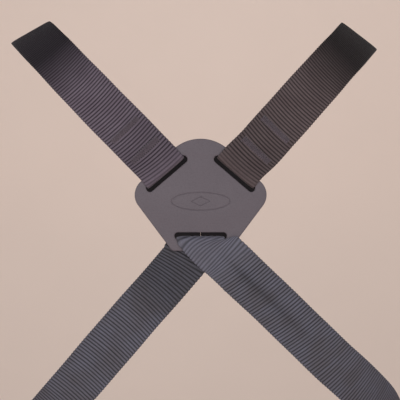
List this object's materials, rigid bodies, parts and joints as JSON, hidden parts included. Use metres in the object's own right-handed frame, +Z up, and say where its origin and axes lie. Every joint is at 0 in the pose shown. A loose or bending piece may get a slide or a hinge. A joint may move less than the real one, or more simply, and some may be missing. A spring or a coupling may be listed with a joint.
{
  "type": "binocular harness",
  "caption": "Elastic webbing harness worn over the shoulders: a back plate joins crossing straps, and front plates carry quick-release leads with rings for a binocular.",
  "frame": {"origin": "middle of the raised flat land on the wearer's side of the back plate", "axes": "+Z is up along the wearer's spine, +Y points forward from the land through the wearer's chest, +X is to the wearer's right"},
  "size_m": [0.3432, 0.259, 0.3922],
  "materials": {
    "plate_leather": "matte, fine grain",
    "front_leather": "matte, fine grain",
    "shoulder_elastic": "cross-ribbed elastic webbing",
    "underarm_elastic": "cross-ribbed elastic webbing with a slight shine",
    "lead_webbing": "tight woven nylon",
    "keeper_elastic": "knitted elastic",
    "stitching": "zigzag thread",
    "black_plastic": "moulded acetal, fine grain",
    "ring_steel": "nickel-plated spring steel"
  },
  "bodies": {
    "harness": {"back_plate": "plate_leather", "underarm_strap": "underarm_elastic", "shoulder_strap_left": "shoulder_elastic", "back_tack_left_lower": "stitching", "back_tack_left_upper": "stitching", "underarm_tack_left_upper": "stitching", "underarm_tack_left_lower": "stitching", "front_plate_left": "front_leather", "shoulder_strap_right": "shoulder_elastic", "back_tack_right_lower": "stitching", "back_tack_right_upper": "stitching", "underarm_tack_right_upper": "stitching", "underarm_tack_right_lower": "stitching", "front_plate_right": "front_leather"},
    "adjuster_left": {"strap_adjuster_left": "black_plastic"},
    "keeper_left": {"tail_keeper_left": "keeper_elastic"},
    "lead_left": {"lead_webbing_left": "lead_webbing", "lead_tack_left": "stitching", "buckle_socket_left": "black_plastic"},
    "plug_left": {"buckle_plug_left": "black_plastic"},
    "prong_left_outer": {"plug_prong_left_outer": "black_plastic"},
    "prong_left_inner": {"plug_prong_left_inner": "black_plastic"},
    "ring_left": {"split_ring_left": "ring_steel"},
    "adjuster_right": {"strap_adjuster_right": "black_plastic"},
    "keeper_right": {"tail_keeper_right": "keeper_elastic"},
    "lead_right": {"lead_webbing_right": "lead_webbing", "lead_tack_right": "stitching", "buckle_socket_right": "black_plastic"},
    "plug_right": {"buckle_plug_right": "black_plastic"},
    "prong_right_outer": {"plug_prong_right_outer": "black_plastic"},
    "prong_right_inner": {"plug_prong_right_inner": "black_plastic"},
    "ring_right": {"split_ring_right": "ring_steel"}
  },
  "joints": [
    {"name": "adjuster_slide_left", "type": "slide", "parent": "harness", "child": "adjuster_left", "axis": [-0.6449, -0.3946, 0.6545], "range_m": [-0.012, 0.012]},
    {"name": "keeper_slide_left", "type": "slide", "parent": "harness", "child": "keeper_left", "axis": [-0.6449, -0.3946, 0.6545], "range_m": [-0.012, 0.003]},
    {"name": "lead_swing_left", "type": "hinge", "parent": "harness", "child": "lead_left", "pos_m": [-0.0245, 0.235, 0.008], "axis": [1, 0, 0], "range_deg": [0, 90]},
    {"name": "plug_pull_left", "type": "slide", "parent": "lead_left", "child": "plug_left", "axis": [0, 0, -1], "range_m": [0, 0.02]},
    {"name": "prong_squeeze_left_outer", "type": "hinge", "parent": "plug_left", "child": "prong_left_outer", "pos_m": [-0.0295, 0.245, -0.0635], "axis": [0, 1, 0], "range_deg": [0, 9], "stiffness_Nm_per_rad": 0.05},
    {"name": "prong_squeeze_left_inner", "type": "hinge", "parent": "plug_left", "child": "prong_left_inner", "pos_m": [-0.0195, 0.245, -0.0635], "axis": [0, -1, 0], "range_deg": [0, 9], "stiffness_Nm_per_rad": 0.05},
    {"name": "ring_swing_left", "type": "hinge", "parent": "plug_left", "child": "ring_left", "pos_m": [-0.0245, 0.245, -0.07555], "axis": [1, 0, 0], "range_deg": [0, 50]},
    {"name": "adjuster_slide_right", "type": "slide", "parent": "harness", "child": "adjuster_right", "axis": [0.6215, -0.4044, 0.6709], "range_m": [-0.012, 0.012]},
    {"name": "keeper_slide_right", "type": "slide", "parent": "harness", "child": "keeper_right", "axis": [0.6215, -0.4044, 0.6709], "range_m": [-0.012, 0.003]},
    {"name": "lead_swing_right", "type": "hinge", "parent": "harness", "child": "lead_right", "pos_m": [0.0245, 0.235, 0.008], "axis": [1, 0, 0], "range_deg": [0, 90]},
    {"name": "plug_pull_right", "type": "slide", "parent": "lead_right", "child": "plug_right", "axis": [0, 0, -1], "range_m": [0, 0.02]},
    {"name": "prong_squeeze_right_outer", "type": "hinge", "parent": "plug_right", "child": "prong_right_outer", "pos_m": [0.0295, 0.245, -0.0635], "axis": [0, -1, 0], "range_deg": [0, 9], "stiffness_Nm_per_rad": 0.05},
    {"name": "prong_squeeze_right_inner", "type": "hinge", "parent": "plug_right", "child": "prong_right_inner", "pos_m": [0.0195, 0.245, -0.0635], "axis": [0, 1, 0], "range_deg": [0, 9], "stiffness_Nm_per_rad": 0.05},
    {"name": "ring_swing_right", "type": "hinge", "parent": "plug_right", "child": "ring_right", "pos_m": [0.0245, 0.245, -0.07555], "axis": [1, 0, 0], "range_deg": [0, 50]}
  ]
}
